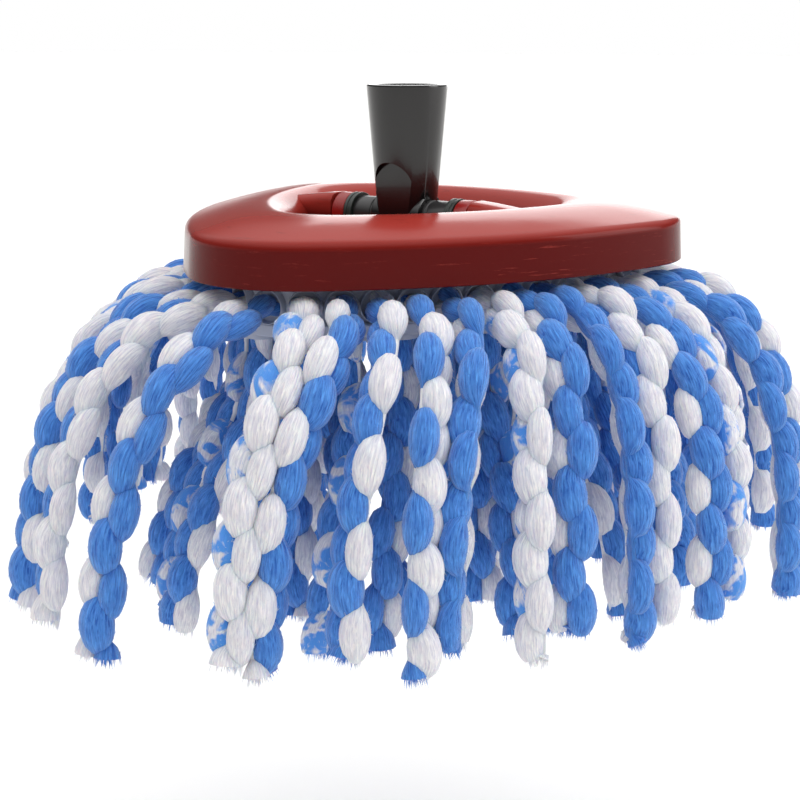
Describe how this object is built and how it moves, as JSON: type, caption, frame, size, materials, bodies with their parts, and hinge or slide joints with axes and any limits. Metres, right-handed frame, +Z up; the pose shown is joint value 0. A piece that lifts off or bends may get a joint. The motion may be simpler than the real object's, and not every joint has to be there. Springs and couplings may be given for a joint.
{
  "type": "spin mop head",
  "caption": "Head of a spin mop: tilting handle socket on a rounded triangular plate that carries a clip-on refill of microfibre ropes.",
  "frame": {"origin": "centre of the handle socket's mouth, where the tube goes in", "axes": "+Z up along the handle and out of the socket, +X along the tilt hinge's shaft, +Y towards the plate's straight back edge, right-handed"},
  "size_m": [0.2863, 0.2907, 0.1782],
  "materials": {
    "black_plastic": "glossy",
    "shaft_plastic": "satin",
    "collar_plastic": "satin",
    "red_plastic": "glossy",
    "bearing_plastic": "glossy",
    "ring_plastic": "satin",
    "zinc_screw": "zinc plated",
    "microfibre_yarn": "fuzzy loop yarn, blue and white"
  },
  "bodies": {
    "socket": {"handle_socket": "black_plastic", "hinge_shaft": "shaft_plastic", "collar_left": "collar_plastic", "collar_right": "collar_plastic"},
    "plate": {"top_plate": "red_plastic", "bearing_left": "bearing_plastic", "bearing_right": "bearing_plastic", "bearing_screws": "zinc_screw"},
    "refill": {"refill_ring": "ring_plastic", "clamp_ring": "ring_plastic", "clamp_screws": "zinc_screw", "top_rope_01": "microfibre_yarn", "top_rope_02": "microfibre_yarn", "top_rope_03": "microfibre_yarn", "top_rope_04": "microfibre_yarn", "top_rope_05": "microfibre_yarn", "top_rope_06": "microfibre_yarn", "top_rope_07": "microfibre_yarn", "top_rope_08": "microfibre_yarn", "top_rope_09": "microfibre_yarn", "top_rope_10": "microfibre_yarn", "top_rope_11": "microfibre_yarn", "top_rope_12": "microfibre_yarn", "top_rope_13": "microfibre_yarn", "top_rope_14": "microfibre_yarn", "top_rope_15": "microfibre_yarn", "top_rope_16": "microfibre_yarn", "top_rope_17": "microfibre_yarn", "top_rope_18": "microfibre_yarn", "top_rope_19": "microfibre_yarn", "top_rope_20": "microfibre_yarn", "top_rope_21": "microfibre_yarn", "top_rope_22": "microfibre_yarn", "top_rope_23": "microfibre_yarn", "top_rope_24": "microfibre_yarn", "top_rope_25": "microfibre_yarn", "top_rope_26": "microfibre_yarn", "top_rope_27": "microfibre_yarn", "top_rope_28": "microfibre_yarn", "top_rope_29": "microfibre_yarn", "top_rope_30": "microfibre_yarn", "top_rope_31": "microfibre_yarn", "top_rope_32": "microfibre_yarn", "top_rope_33": "microfibre_yarn", "top_rope_34": "microfibre_yarn", "top_rope_35": "microfibre_yarn", "top_rope_36": "microfibre_yarn", "top_rope_37": "microfibre_yarn", "top_rope_38": "microfibre_yarn", "top_rope_39": "microfibre_yarn", "second_ropes_1": "microfibre_yarn", "second_ropes_2": "microfibre_yarn", "second_ropes_3": "microfibre_yarn", "inner_ropes_outward": "microfibre_yarn", "inner_ropes_inward": "microfibre_yarn"}
  },
  "joints": [
    {"name": "head_tilt", "type": "hinge", "parent": "socket", "child": "plate", "pos_m": [0, 0, -0.047], "axis": [1, 0, 0], "range_deg": [-60, 60]},
    {"name": "refill_release", "type": "slide", "parent": "plate", "child": "refill", "axis": [0, 0, -1], "range_m": [0, 0.04]}
  ]
}
